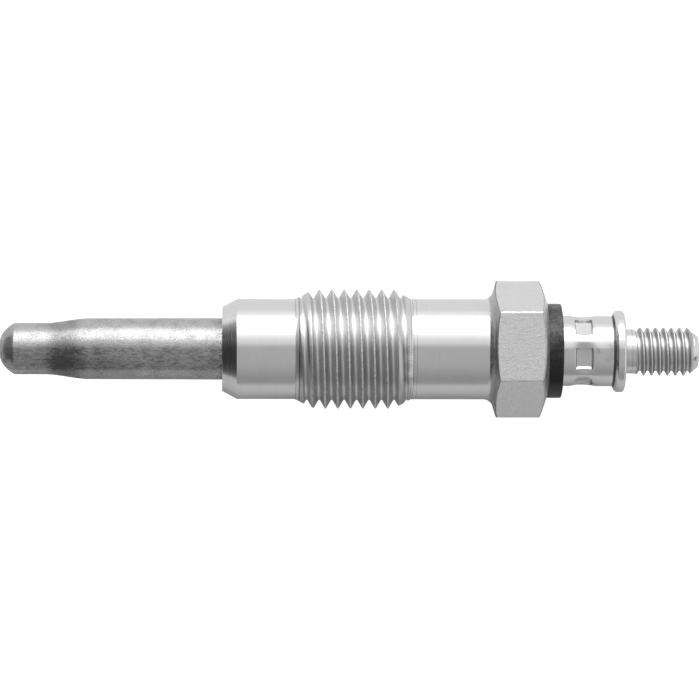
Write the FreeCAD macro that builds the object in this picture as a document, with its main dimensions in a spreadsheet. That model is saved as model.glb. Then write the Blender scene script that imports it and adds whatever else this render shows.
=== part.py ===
import FreeCAD, Part
import math
import os
import Sketcher
from FreeCAD import Rotation, Vector

# A diesel glow plug lying on its side, in millimetres.
# X runs along the plug, from the hot tip to the terminal stud, and Z points up.
# The origin lies on the axis, in the front face of the housing, where the sealing cone starts.
# Each sub-part is drawn in its own frame, from its own front end, and then slid along X to its place.

SIZES = [
    # Housing: the turned steel shell
    ("seat_radius", 4.22, "outer radius of the front face, where the sealing cone starts"),
    ("seat_length", 1.4, "length of the sealing cone"),
    ("pilot_radius", 5.015, "plain pilot in front of the thread"),
    ("thread_start", 7.15, "where the thread's lead-in chamfer leaves the pilot"),
    ("thread_lead", 1.75, "length of the lead-in chamfer"),
    ("thread_edge", 0.73, "half width of the crest in front of the first groove and behind the last"),
    ("thread_pitch", 1.25, "pitch of the M12 x 1.25 thread"),
    ("groove_count", 6, "number of grooves that stand in for the thread's turns"),
    ("groove_width", 0.69, "width of a groove at the crests"),
    ("groove_depth", 0.56, "depth of a groove"),
    ("thread_run_out", 1.6, "length of the cone behind the thread"),
    ("thread_radius", 5.97, "crest radius of the M12 x 1.25 thread"),
    ("shank_radius", 5.03, "plain shank between thread and hexagon"),
    ("shank_length", 7.5, "length of the shank"),
    ("neck_cone", 0.45, "length and height of the short cone that stands in for the fillet under the head"),
    ("hex_cone", 0.55, "length of the flat cone under the hexagon"),
    ("hex_length", 4.4, "length at full corner height"),
    ("hex_chamfer", 0.68, "length of the chamfer behind the hexagon"),
    ("hex_flats", 11.87, "width across flats, 12 mm nominal"),
    ("corner_relief", 0.023, "how far inside the sharp corners the bar was turned"),
    ("hex_face_margin", 0.14, "flat rear face left around the washer"),
    ("bore_radius", 2.6, "air space around the connecting pin"),
    ("seal_bore_radius", 3.5, "rear counterbore for the seal and the washer's spigot"),
    ("seal_bore_depth", 3.1, "depth of that counterbore"),
    # Glow tube: the swaged sheath
    ("probe_length", 22.25, "how far the tube stands out of the housing"),
    ("tip_radius", 2.58, "radius of the swaged tip"),
    ("tip_length", 5.25, "length of the swaged tip with its dome"),
    ("dome_radius", 5.0, "radius of the flat dome at the very end"),
    ("dome_rim", 1.9, "radius of the dome's rim"),
    ("dome_shoulder", 0.85, "length of the shoulder from the rim to the tip's wall"),
    ("swage_length", 3.1, "length of the swaged taper"),
    ("tube_radius", 3.05, "radius of the tube in front of the housing"),
    ("land_growth", 0.2, "how much larger the land is that is pressed into the housing"),
    ("land_run", 0.45, "length of the cone from tube to land"),
    ("land_depth", 12.4, "how deep the tube sits in the housing"),
    ("tube_wall", 0.55, "wall of the tube"),
    ("tip_wall", 0.9, "thickness of the closed end"),
    # Inside the glow tube
    ("heating_wire", 0.35, "thickness of the close-wound heating coil"),
    ("heating_radius", 1.5, "outer radius of the heating coil"),
    ("heating_length", 7.6, "length of the heating coil"),
    ("regulating_wire", 0.3, "thickness of the close-wound regulating coil"),
    ("regulating_length", 12.6, "length of the regulating coil"),
    ("pin_nose", 1.6, "length of the pin's nose inside the regulating coil"),
    ("nose_radius", 1.1, "radius of that nose"),
    ("tube_seal_length", 2.2, "length of the seal in the tube's open end"),
    # Connecting pin: rod, neck and terminal stud in one piece
    ("rod_radius", 1.5, "thin front rod"),
    ("neck_radius", 2.2, "thick rear rod and the neck behind the nut"),
    ("step_place", 27.2, "where the step from thin to thick starts"),
    ("step_length", 0.4, "length of the conical step"),
    ("neck_length", 1.2, "bare neck between nut and thread"),
    ("stud_length", 6.25, "length of the threaded stud"),
    ("stud_radius", 2.435, "crest radius of the M5 x 0.8 thread"),
    ("stud_chamfer", 1.0, "length of the chamfer at the free end"),
    ("stud_end_radius", 1.63, "radius of the end face"),
    ("stud_lead", 0.3, "length of the cone where neck and thread meet"),
    # Rear stack: seal, washer and crimped nut
    ("seal_length", 1.5, "length of the squeezed seal ring"),
    ("washer_radius", 4.76, "outer radius of the insulating washer"),
    ("washer_length", 1.6, "thickness of its visible ring"),
    ("washer_bevel", 0.25, "bevel of its rear outer edge"),
    ("pin_gap", 0.1, "air between the pin and the washer's bore"),
    ("nut_radius", 3.53, "outer radius of the nut's sleeve"),
    ("nut_length", 5.0, "length of the sleeve in front of the flange"),
    ("flange_height", 0.56, "how far the flange stands out of the sleeve"),
    ("flange_length", 1.2, "thickness of the flange"),
    ("flange_bevel", 0.25, "bevel of the flange's edges"),
    ("nut_countersink", 0.32, "countersink of the nut's bore, wider than the stud that passes through"),
    ("waist_start", 0.45, "where the crimped waist starts"),
    ("waist_end", 3.15, "where the crimped waist ends"),
    ("waist_slope", 0.75, "length of the waist's slope at either end"),
    ("waist_depth", 0.25, "depth of the waist between its slopes"),
    ("crimp_start", 1.1, "front wall of the crimp pockets"),
    ("crimp_length", 1.82, "length of a crimp pocket"),
    ("crimp_width", 2.0, "width of a crimp pocket"),
    ("crimp_depth", 0.51, "depth of a pocket's flat floor below the sleeve's full radius"),
    ("crimp_count", 6, "number of crimp pockets"),
    ("crimp_turn", 16, "angle of the first pocket from the upward hexagon flat"),
]

document = FreeCAD.newDocument("diesel_glow_plug")
sheet = document.addObject("Spreadsheet::Sheet", "sizes")
for row, (alias, value, meaning) in enumerate(SIZES, start=1):
    sheet.set(f"A{row}", meaning)
    sheet.set(f"B{row}", str(value))
    sheet.setAlias(f"B{row}", alias)
document.recompute()


def number(expression):
    """The value of an expression over the sheet's sizes."""
    value = sheet.evalExpression(expression)
    return float(getattr(value, "Value", value))


def new_body(label, place="0", turn="0"):
    """A body for one sub-part, slid along X to its place and turned about X."""
    body = document.addObject("PartDesign::Body", label)
    body.Label = label
    body.Placement = FreeCAD.Placement(Vector(0, 0, 0), Rotation(Vector(1, 0, 0), 0))
    body.setExpression(".Placement.Base.x", place)
    body.setExpression(".Placement.Rotation.Angle", turn)
    return body


def origin_feature(body, role):
    return next(item for item in body.Origin.OriginFeatures if item.Role == role)


def outline(body, name, corners, plane="XZ_Plane", offset="0"):
    """A closed sketch through corners; each is two size expressions and, for a round side after it,
    the radius of that side."""
    sketch = body.newObject("Sketcher::SketchObject", name)
    sketch.AttachmentSupport = [(origin_feature(body, plane), "")]
    sketch.MapMode = "FlatFace"
    sketch.setExpression(".AttachmentOffset.Base.z", offset)
    points = [Vector(number(corner[0]), number(corner[1]), 0) for corner in corners]
    count = len(corners)
    for side, corner in enumerate(corners):
        start = points[side]
        end = points[(side + 1) % count]
        if len(corner) == 3:
            sketch.addGeometry(arc_between(start, end, number(corner[2])))
        else:
            sketch.addGeometry(Part.LineSegment(start, end))
    for side, corner in enumerate(corners):
        first, last = side_ends(sketch, side, points[side])
        following = (side + 1) % count
        next_first = side_ends(sketch, following, points[following])[0]
        sketch.addConstraint(Sketcher.Constraint("Coincident", side, last, following, next_first))
        for kind, expression in (("DistanceX", corner[0]), ("DistanceY", corner[1])):
            rule = Sketcher.Constraint(kind, -1, 1, side, first, number(expression))
            sketch.setExpression(f"Constraints[{sketch.addConstraint(rule)}]", expression)
        if len(corner) == 3:
            rule = Sketcher.Constraint("Radius", side, number(corner[2]))
            sketch.setExpression(f"Constraints[{sketch.addConstraint(rule)}]", corner[2])
    return sketch


def arc_between(start, end, radius):
    """An arc that bulges to the left of the way from start to end."""
    chord = end - start
    left = Vector(-chord.y, chord.x, 0).normalize()
    sag = radius - math.sqrt(radius**2 - (chord.Length / 2) ** 2)
    middle = (start + end) / 2 + left * sag
    return Part.Arc(start, middle, end)


def side_ends(sketch, side, start):
    """Which point number of a side is its start and which its end, as arcs may run backwards."""
    if (sketch.getPoint(side, 1) - start).Length < 1e-6:
        return 1, 2
    return 2, 1


def revolve(body, name, corners):
    """A solid of revolution about X from its half section."""
    feature = body.newObject("PartDesign::Revolution", name)
    feature.Profile = outline(body, name + "Section", corners)
    feature.ReferenceAxis = (origin_feature(body, "X_Axis"), [""])
    feature.Angle = 360
    document.recompute()
    return feature


def bevel_edges(body, name, size, rings):
    """A chamfer on circular edges, each found by where its centre lies and by its radius."""
    base = body.Tip
    names = []
    for place, ring in rings:
        near = [
            f"Edge{index}"
            for index, edge in enumerate(base.Shape.Edges, start=1)
            if not edge.Degenerated
            and isinstance(edge.Curve, Part.Circle)
            and abs(edge.Curve.Center.x - number(place)) < 1e-4
            and abs(edge.Curve.Radius - number(ring)) < 1e-4
        ]
        if not near:
            raise ValueError(f"{name}: no edge of radius {number(ring):.3f} at {number(place):.3f}")
        names += near
    feature = body.newObject("PartDesign::Chamfer", name)
    feature.Base = (base, names)
    feature.setExpression("Size", size)
    document.recompute()
    check_removed(feature, base.Shape.Volume)
    return feature


def check_removed(feature, before):
    if feature.Shape.Volume > before - 0.01:
        raise ValueError(f"{feature.Name} removed nothing")


# Places along the plug that several sub-parts share, as expressions over the sizes
thread_front = "(sizes.thread_start + sizes.thread_lead)"
first_groove = f"({thread_front} + sizes.thread_edge + sizes.groove_width / 2)"
last_groove = f"({first_groove} + (sizes.groove_count - 1) * sizes.thread_pitch)"
thread_rear = f"({last_groove} + sizes.groove_width / 2 + sizes.thread_edge)"
shank_front = f"({thread_rear} + sizes.thread_run_out)"
shank_rear = f"({shank_front} + sizes.shank_length)"
hex_front = f"({shank_rear} + sizes.neck_cone + sizes.hex_cone)"
hex_corner = "(sizes.hex_flats / 2 / cos(30))"
hex_round = f"({hex_corner} - sizes.corner_relief)"
hex_rear = f"({hex_front} + sizes.hex_length + sizes.hex_chamfer)"
seal_floor = f"({hex_rear} - sizes.seal_bore_depth)"
nut_place = f"({hex_rear} + sizes.washer_length)"
nut_rear = f"({nut_place} + sizes.nut_length + sizes.flange_length)"
tube_place = "(-sizes.probe_length)"
tube_end = "(sizes.probe_length + sizes.land_depth)"
filling_end = f"({tube_end} - sizes.tube_seal_length)"
land_radius = "(sizes.tube_radius + sizes.land_growth)"
tube_bore = "(sizes.tube_radius - sizes.tube_wall)"
tip_bore = "(sizes.tip_radius - sizes.tube_wall)"
swage_end = "(sizes.tip_length + sizes.swage_length)"
heating_end = "(sizes.tip_wall + sizes.heating_length)"
regulating_end = f"({heating_end} + sizes.regulating_length)"
regulating_radius = "(sizes.nose_radius + sizes.regulating_wire)"
pin_front = f"({regulating_end} - sizes.pin_nose)"


def thread_grooves():
    """The corners of a thread's turns, drawn as one V groove for each pitch."""
    corners = []
    for groove in range(round(number("sizes.groove_count"))):
        middle = f"{first_groove} + {groove} * sizes.thread_pitch"
        corners += [
            (f"{middle} - sizes.groove_width / 2", "sizes.thread_radius"),
            (middle, "sizes.thread_radius - sizes.groove_depth"),
            (f"{middle} + sizes.groove_width / 2", "sizes.thread_radius"),
        ]
    return corners


def make_housing():
    """The steel shell: sealing cone, pilot, thread, shank, hexagon and stepped bore."""
    body = new_body("housing")
    revolve(body, "TurnedShell", [
        ("0", land_radius),
        ("0", "sizes.seat_radius"),
        ("sizes.seat_length", "sizes.pilot_radius"),
        ("sizes.thread_start", "sizes.pilot_radius"),
        (thread_front, "sizes.thread_radius"),
        *thread_grooves(),
        (thread_rear, "sizes.thread_radius"),
        (shank_front, "sizes.shank_radius"),
        (shank_rear, "sizes.shank_radius"),
        (f"{shank_rear} + sizes.neck_cone", "sizes.shank_radius + sizes.neck_cone"),
        (hex_front, hex_round),
        (f"{hex_front} + sizes.hex_length", hex_round),
        (hex_rear, "sizes.washer_radius + sizes.hex_face_margin"),
        (hex_rear, "sizes.seal_bore_radius"),
        (seal_floor, "sizes.seal_bore_radius"),
        (seal_floor, "sizes.bore_radius"),
        ("sizes.land_depth", "sizes.bore_radius"),
        ("sizes.land_depth", land_radius),
    ])
    cut_hexagon(body)
    return body


def cut_hexagon(body):
    """Six flats milled on the turned head; its cone and chamfer leave an arc at both ends of each."""
    ring = outline(
        body, "HexagonSection",
        [(f"{hex_corner} * cos({angle})", f"{hex_corner} * sin({angle})") for angle in range(0, 360, 60)],
        plane="YZ_Plane", offset=shank_rear,
    )
    clear = f"({hex_round} + 2)"
    circle = ring.addGeometry(Part.Circle(Vector(0, 0, 0), Vector(0, 0, 1), number(clear)))
    ring.addConstraint(Sketcher.Constraint("Coincident", circle, 3, -1, 1))
    rule = Sketcher.Constraint("Radius", circle, number(clear))
    ring.setExpression(f"Constraints[{ring.addConstraint(rule)}]", clear)
    before = body.Tip.Shape.Volume
    feature = body.newObject("PartDesign::Pocket", "HexagonFlats")
    feature.Profile = ring
    feature.Type = "Length"
    feature.setExpression("Length", f"{hex_rear} - {shank_rear} + 1")
    feature.Reversed = True
    document.recompute()
    check_removed(feature, before)
    return feature


def make_glow_tube():
    """The closed sheath, swaged down to the tip and pressed into the housing."""
    body = new_body("glow_tube", tube_place)
    dome_depth = "(sizes.dome_radius - sqrt(sizes.dome_radius ^ 2 - sizes.dome_rim ^ 2))"
    revolve(body, "SwagedTube", [
        ("0", "0", "sizes.dome_radius"),
        (dome_depth, "sizes.dome_rim"),
        (f"{dome_depth} + sizes.dome_shoulder", "sizes.tip_radius"),
        ("sizes.tip_length", "sizes.tip_radius"),
        (swage_end, "sizes.tube_radius"),
        ("sizes.probe_length", "sizes.tube_radius"),
        ("sizes.probe_length + sizes.land_run", land_radius),
        (tube_end, land_radius),
        (tube_end, tube_bore),
        (swage_end, tube_bore),
        ("sizes.tip_length", tip_bore),
        ("sizes.tip_wall", tip_bore),
        ("sizes.tip_wall", "0"),
    ])
    return body


def make_sleeve(label, place, length, outer, inner):
    """A plain ring or close-wound coil as one hollow round piece."""
    body = new_body(label, place)
    revolve(body, "Ring", [("0", inner), ("0", outer), (length, outer), (length, inner)])
    return body


def make_heating_coil():
    """The front coil, welded to the closed end of the tube."""
    return make_sleeve(
        "heating_coil", f"{tube_place} + sizes.tip_wall",
        "sizes.heating_length", "sizes.heating_radius", "sizes.heating_radius - sizes.heating_wire",
    )


def make_regulating_coil():
    """The rear coil, from the heating coil to the nose of the pin."""
    return make_sleeve(
        "regulating_coil", f"{tube_place} + {heating_end}",
        "sizes.regulating_length", regulating_radius, "sizes.nose_radius",
    )


def make_magnesia_filling():
    """The packed powder between the coils and the tube, up to the seal in its open end."""
    body = new_body("magnesia_filling", f"{tube_place} + sizes.tip_wall")
    shift = " - sizes.tip_wall"
    revolve(body, "PackedPowder", [
        ("0", "sizes.heating_radius"),
        ("0", tip_bore),
        ("sizes.tip_length" + shift, tip_bore),
        (swage_end + shift, tube_bore),
        (filling_end + shift, tube_bore),
        (filling_end + shift, "sizes.rod_radius"),
        (regulating_end + shift, "sizes.rod_radius"),
        (regulating_end + shift, regulating_radius),
        (heating_end + shift, regulating_radius),
        (heating_end + shift, "sizes.heating_radius"),
    ])
    return body


def make_magnesia_core():
    """The packed powder inside the two coils, up to the nose of the pin."""
    body = new_body("magnesia_core", f"{tube_place} + sizes.tip_wall")
    shift = " - sizes.tip_wall"
    revolve(body, "PackedPowder", [
        ("0", "0"),
        ("0", "sizes.heating_radius - sizes.heating_wire"),
        (heating_end + shift, "sizes.heating_radius - sizes.heating_wire"),
        (heating_end + shift, "sizes.nose_radius"),
        (pin_front + shift, "sizes.nose_radius"),
        (pin_front + shift, "0"),
    ])
    return body


def make_tube_seal():
    """The rubber ring that closes the tube around the pin."""
    return make_sleeve(
        "tube_seal", f"{tube_place} + {filling_end}", "sizes.tube_seal_length", tube_bore, "sizes.rod_radius",
    )


def make_connecting_pin():
    """The pin from the coils to the terminal: nose, thin rod, thick rod, neck and M5 stud in one."""
    place = f"({tube_place} + {pin_front})"
    body = new_body("connecting_pin", place)
    stud_start = f"({nut_rear} + sizes.neck_length - {place})"
    stud_end = f"({stud_start} + sizes.stud_length)"
    revolve(body, "RodAndStud", [
        ("0", "0"),
        ("0", "sizes.nose_radius"),
        ("sizes.pin_nose", "sizes.nose_radius"),
        ("sizes.pin_nose", "sizes.rod_radius"),
        (f"sizes.step_place - {place}", "sizes.rod_radius"),
        (f"sizes.step_place + sizes.step_length - {place}", "sizes.neck_radius"),
        (stud_start, "sizes.neck_radius"),
        (f"{stud_start} + sizes.stud_lead", "sizes.stud_radius"),
        (f"{stud_end} - sizes.stud_chamfer", "sizes.stud_radius"),
        (stud_end, "sizes.stud_end_radius"),
        (stud_end, "0"),
    ])
    return body


def make_housing_seal():
    """The rubber ring at the bottom of the rear counterbore, squeezed by the washer's spigot."""
    return make_sleeve(
        "housing_seal", seal_floor, "sizes.seal_length", "sizes.seal_bore_radius", "sizes.neck_radius",
    )


def make_insulating_washer():
    """The black washer between housing and nut, with a spigot that centres it in the counterbore."""
    spigot = "(sizes.seal_bore_depth - sizes.seal_length)"
    body = new_body("insulating_washer", f"{hex_rear} - {spigot}")
    length = f"({spigot} + sizes.washer_length)"
    revolve(body, "WasherAndSpigot", [
        ("0", "sizes.neck_radius + sizes.pin_gap"),
        ("0", "sizes.seal_bore_radius"),
        (spigot, "sizes.seal_bore_radius"),
        (spigot, "sizes.washer_radius"),
        (length, "sizes.washer_radius"),
        (length, "sizes.neck_radius + sizes.pin_gap"),
    ])
    bevel_edges(body, "WasherEdge", "sizes.washer_bevel", [(length, "sizes.washer_radius")])
    return body


def make_round_nut():
    """The round nut crimped on the pin: a waisted sleeve with six pockets, and a flange behind."""
    body = new_body("round_nut", nut_place, "sizes.crimp_turn")
    flange_end = "(sizes.nut_length + sizes.flange_length)"
    flange_radius = "(sizes.nut_radius + sizes.flange_height)"
    revolve(body, "SleeveAndFlange", [
        ("0", "sizes.neck_radius"),
        ("0", "sizes.nut_radius"),
        ("sizes.waist_start", "sizes.nut_radius"),
        ("sizes.waist_start + sizes.waist_slope", "sizes.nut_radius - sizes.waist_depth"),
        ("sizes.waist_end - sizes.waist_slope", "sizes.nut_radius - sizes.waist_depth"),
        ("sizes.waist_end", "sizes.nut_radius"),
        ("sizes.nut_length", "sizes.nut_radius"),
        ("sizes.nut_length", flange_radius),
        (flange_end, flange_radius),
        (flange_end, "sizes.neck_radius + sizes.nut_countersink"),
        (f"{flange_end} - sizes.nut_countersink", "sizes.neck_radius"),
    ])
    bevel_edges(body, "FlangeEdges", "sizes.flange_bevel", [
        ("sizes.nut_length", flange_radius),
        (flange_end, flange_radius),
    ])
    before = body.Tip.Shape.Volume
    pocket = body.newObject("PartDesign::Pocket", "CrimpPocket")
    pocket.Profile = outline(
        body, "CrimpSection",
        [
            ("sizes.crimp_start", "-sizes.crimp_width / 2"),
            ("sizes.crimp_start + sizes.crimp_length", "-sizes.crimp_width / 2"),
            ("sizes.crimp_start + sizes.crimp_length", "sizes.crimp_width / 2"),
            ("sizes.crimp_start", "sizes.crimp_width / 2"),
        ],
        plane="XY_Plane", offset="sizes.nut_radius - sizes.crimp_depth",
    )
    pocket.Type = "Length"
    pocket.setExpression("Length", "sizes.nut_radius")
    pocket.Reversed = True
    document.recompute()
    check_removed(pocket, before)
    pattern = body.newObject("PartDesign::PolarPattern", "CrimpPockets")
    pattern.Originals = [pocket]
    pattern.Axis = (origin_feature(body, "X_Axis"), [""])
    pattern.Angle = 360
    pattern.setExpression("Occurrences", "sizes.crimp_count")
    body.Tip = pattern
    document.recompute()
    check_removed(pattern, pocket.Shape.Volume)
    return body


bodies = [
    make_housing(),
    make_glow_tube(),
    make_heating_coil(),
    make_regulating_coil(),
    make_magnesia_filling(),
    make_magnesia_core(),
    make_tube_seal(),
    make_connecting_pin(),
    make_housing_seal(),
    make_insulating_washer(),
    make_round_nut(),
]
document.recompute()

for item in document.Objects:
    if {"Invalid", "Error"} & set(item.State):
        raise RuntimeError(f"{item.Name} failed: {item.State}")

os.makedirs("parts", exist_ok=True)
for body in bodies:
    shape = body.Shape
    if shape.isNull() or not shape.isValid() or len(shape.Solids) != 1:
        raise RuntimeError(f"{body.Label} is not one valid solid")
    shape.exportStep(f"parts/{body.Label}.step")
    print(f"{body.Label}: {shape.Volume:.2f} mm3, x {shape.BoundBox.XMin:.2f} to {shape.BoundBox.XMax:.2f}")
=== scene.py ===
# %% [markdown]
# A diesel glow plug heats the air in a cylinder before a cold start. It is a turned steel shell
# with a thread and a hexagon, a closed heater tube in front, and behind it a black insulating
# ring, a crimped round nut and a threaded stud for the current.
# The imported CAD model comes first. It fixes where everything is, so the pieces made here are
# drawn straight into its frame: X along the plug, from hot tip to stud, and Z up.

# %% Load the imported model
import math

import bmesh
import bpy
from mathutils import Matrix, Vector


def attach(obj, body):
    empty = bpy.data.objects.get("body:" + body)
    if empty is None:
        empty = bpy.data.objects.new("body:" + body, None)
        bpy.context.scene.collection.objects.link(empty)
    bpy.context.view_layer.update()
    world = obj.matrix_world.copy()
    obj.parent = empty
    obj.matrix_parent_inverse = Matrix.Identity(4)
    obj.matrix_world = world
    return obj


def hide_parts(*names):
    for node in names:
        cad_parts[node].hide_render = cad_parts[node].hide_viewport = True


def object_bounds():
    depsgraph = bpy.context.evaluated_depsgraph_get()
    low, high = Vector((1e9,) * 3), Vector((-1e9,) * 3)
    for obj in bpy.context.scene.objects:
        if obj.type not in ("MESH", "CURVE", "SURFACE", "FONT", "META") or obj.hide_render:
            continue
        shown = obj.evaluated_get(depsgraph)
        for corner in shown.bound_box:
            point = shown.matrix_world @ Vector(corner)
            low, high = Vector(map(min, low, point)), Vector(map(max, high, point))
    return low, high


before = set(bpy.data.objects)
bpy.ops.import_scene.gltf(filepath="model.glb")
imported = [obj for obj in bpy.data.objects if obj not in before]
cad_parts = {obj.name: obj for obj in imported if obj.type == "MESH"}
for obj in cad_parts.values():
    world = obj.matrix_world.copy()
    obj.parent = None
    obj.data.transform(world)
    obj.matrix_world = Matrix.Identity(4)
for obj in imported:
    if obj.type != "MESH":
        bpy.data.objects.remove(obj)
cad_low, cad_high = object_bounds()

MM = 0.001
print("CAD box in mm:", [round(v / MM, 2) for v in (*cad_low, *cad_high)])

# %% [markdown]
# The camera looks almost straight down on the plug, from 40 centimetres away, and leans a
# little towards the photographer and towards the hot tip. A long lens keeps the sides parallel.
# A camera looks along its own -Z axis, so its three axes are worked out from the direction to it,
# with the plug's own Y axis up in the picture.

# %% Camera
CAMERA_TARGET = Vector((12.8, -0.1, 0)) * MM
CAMERA_DISTANCE = 400 * MM
CAMERA_LEAN = math.radians(2.4)
CAMERA_YAW = math.radians(1.8)
LENS = 205.4
CLIP_START = 10 * MM

camera = bpy.data.objects.new("camera", bpy.data.cameras.new("camera"))
bpy.context.scene.collection.objects.link(camera)
bpy.context.scene.camera = camera
towards_camera = Vector((-math.tan(CAMERA_YAW), -math.tan(CAMERA_LEAN), 1)).normalized()
picture_right = Vector((0, 1, 0)).cross(towards_camera).normalized()
picture_up = towards_camera.cross(picture_right)
camera.location = CAMERA_TARGET + towards_camera * CAMERA_DISTANCE
camera.rotation_mode = "QUATERNION"
axes = Matrix((picture_right, picture_up, towards_camera)).transposed()
camera.rotation_quaternion = axes.to_quaternion()
camera.data.lens = LENS
camera.data.clip_start = CLIP_START
print("camera at", [round(v, 4) for v in camera.location])

# %% [markdown]
# Bare metal shows little colour of its own: what one sees is the room mirrored in it. So the
# light is planned first, and by direction, and nodes do the planning. Nodes are easier to read
# as formulas, so one small class lets Python's signs add the Math nodes, and one method adds
# every other node from its type, its settings and the values or links of its sockets.

# %% Formulas for nodes
class Signal:
    """One output socket of a node, with Python's signs for its maths."""

    def __init__(self, graph, socket):
        self.graph = graph
        self.socket = socket

    def output(self, name):
        found = next(s for s in self.socket.node.outputs if name in (s.identifier, s.name))
        return Signal(self.graph, found)

    def math(self, operation, *others):
        return self.graph.add("ShaderNodeMath", {"operation": operation}, [self, *others])

    def __add__(self, other):
        return self.math("ADD", other)

    def __sub__(self, other):
        return self.math("SUBTRACT", other)

    def __mul__(self, other):
        return self.math("MULTIPLY", other)

    def __truediv__(self, other):
        return self.math("DIVIDE", other)

    def __pow__(self, other):
        return self.math("POWER", other)

    def __rsub__(self, other):
        return self.graph.add("ShaderNodeMath", {"operation": "SUBTRACT"}, [other, self])

    def __rtruediv__(self, other):
        return self.graph.add("ShaderNodeMath", {"operation": "DIVIDE"}, [other, self])

    __radd__ = __add__
    __rmul__ = __mul__

    def least(self, other):
        return self.math("MINIMUM", other)

    def most(self, other):
        return self.math("MAXIMUM", other)

    def ramp(self, low, high):
        """A smooth step: 0 below low, 1 above high."""
        settings = {"interpolation_type": "SMOOTHSTEP"}
        inputs = {"Value": self, "From Min": low, "From Max": high}
        return self.graph.add("ShaderNodeMapRange", settings, inputs)


# %% Node trees
class Graph:
    """A node tree that grows by one call for each node."""

    def __init__(self, tree):
        self.tree = tree

    def add(self, kind, settings=None, inputs=None):
        node = self.tree.nodes.new(kind)
        for name, value in (settings or {}).items():
            if name == "stops":
                self.set_stops(node.color_ramp, value)
            else:
                setattr(node, name, value)
        pairs = inputs.items() if isinstance(inputs, dict) else enumerate(inputs or [])
        for key, value in pairs:
            socket = self.find(node.inputs, key)
            if isinstance(value, Signal):
                self.tree.links.new(value.socket, socket)
            else:
                socket.default_value = value
        return Signal(self, node.outputs[0]) if len(node.outputs) else node

    @staticmethod
    def find(sockets, key):
        if isinstance(key, int):
            return sockets[key]
        return next(s for s in sockets if key in (s.identifier, s.name))

    @staticmethod
    def set_stops(ramp, stops):
        """A ramp's stops as (position, grey)."""
        while len(ramp.elements) < len(stops):
            ramp.elements.new(1)
        for element, (position, grey) in zip(ramp.elements, stops):
            element.position = position
            element.color = (grey, grey, grey, 1)

    def mixed(self, factor, first, second):
        """A colour that goes from first to second as factor goes from 0 to 1."""
        inputs = {"Factor_Float": factor, "A_Color": first, "B_Color": second}
        mix = self.add("ShaderNodeMix", {"data_type": "RGBA"}, inputs)
        return mix.output("Result_Color")


def grey(value):
    return (value, value, value, 1)


# %% [markdown]
# The studio. One long soft box hangs beside the plug, on its +Y side, and gives every round part
# its white band. The rest of the room is a world whose brightness follows the direction: bright
# low on the soft box's side, mid grey overhead, darker on the other side, and nearly black past
# the hot tip, which is what draws the black line on the sealing cone. A turned part mirrors the
# room by its angle round X, so the world's ramp runs over that same angle.

# %% World
# Pairs of degrees round X, from straight up towards the soft box, and the brightness there.
WORLD_BY_ANGLE = [
    (-180, 0.45), (-92, 0.34), (-76, 0.29), (-60, 0.35), (-44, 0.41), (-30, 0.44),
    (3, 0.45), (8, 0.68), (18, 0.81), (25, 0.96), (33, 1.15), (38, 0.65),
    (78, 0.65), (82, 0.98), (98, 0.83), (180, 0.83),
]
WORLD_PEAK = 1.25
# How far a direction points along the plug, from 0 to 1, where each end begins and is full.
DARK_END = (0.56, 0.83)
DARK_END_TILT = 0.03
DARK_END_SHARE = 0.95
PALE_END = (0.45, 0.8)
PALE_END_LEVEL = 0.82

world = bpy.data.worlds.new("studio")
bpy.context.scene.world = world
world.use_nodes = True
world.node_tree.nodes.clear()
sky = Graph(world.node_tree)
direction = sky.add("ShaderNodeSeparateXYZ", {}, [sky.add("ShaderNodeTexCoord").output("Generated")])
turn = direction.output("Y").math("ARCTAN2", direction.output("Z")) / math.tau + 0.5
stops = [((angle + 180) / 360, level / WORLD_PEAK) for angle, level in WORLD_BY_ANGLE]
around = sky.add("ShaderNodeValToRGB", {"stops": stops}, {"Fac": turn})
towards_tip = (direction.output("X") * -1 - direction.output("Y") * DARK_END_TILT).ramp(*DARK_END)
towards_stud = direction.output("X").ramp(*PALE_END)
level = around * WORLD_PEAK * (1 - towards_tip * DARK_END_SHARE)
level = level * (1 - towards_stud) + towards_stud * PALE_END_LEVEL
seen = sky.add("ShaderNodeLightPath").output("Is Camera Ray")
strength = level * (1 - seen) + seen
light = sky.add("ShaderNodeBackground", {}, {"Color": grey(1), "Strength": strength})
sky.add("ShaderNodeOutputWorld", {}, {"Surface": light})
print("world of", len(world.node_tree.nodes), "nodes")

# %% Soft box
BOX_ANGLE = math.radians(56.4)
BOX_DISTANCE = 0.6
BOX_LENGTH = 0.95
BOX_WIDTH = 0.475
BOX_BRIGHTNESS = 2.0

box = bpy.data.objects.new("soft_box", bpy.data.lights.new("soft_box", "AREA"))
bpy.context.scene.collection.objects.link(box)
box.data.shape = "RECTANGLE"
box.data.size = BOX_LENGTH
box.data.size_y = BOX_WIDTH
box.data.energy = BOX_BRIGHTNESS * math.pi * BOX_LENGTH * BOX_WIDTH
away = Vector((0, math.sin(BOX_ANGLE), math.cos(BOX_ANGLE)))
box.location = CAMERA_TARGET + away * BOX_DISTANCE
box.rotation_mode = "QUATERNION"
box.rotation_quaternion = away.to_track_quat("Z", "Y")
print("soft box of", round(box.data.energy, 2), "watts")

# %% [markdown]
# The floor is white paper. It keeps the plug's soft shadow, because it is lit like anything else,
# and only the camera and the mirrors see some light added to it, so that it reads as a white
# background without any more light on the plug. The mirrors see more of it on the soft box's side.

# %% Helpers for the studio and its materials
def studio_sheet(name, corners):
    """A flat sheet in the studio, from four corners in metres."""
    mesh = bpy.data.meshes.new(name)
    mesh.from_pydata(corners, [], [(0, 1, 2, 3)])
    sheet = bpy.data.objects.new(name, mesh)
    bpy.context.scene.collection.objects.link(sheet)
    return sheet


def new_finish(name):
    """A material without nodes, and the graph that adds them."""
    material = bpy.data.materials.new(name)
    material.use_nodes = True
    material.node_tree.nodes.clear()
    return material, Graph(material.node_tree)


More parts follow.
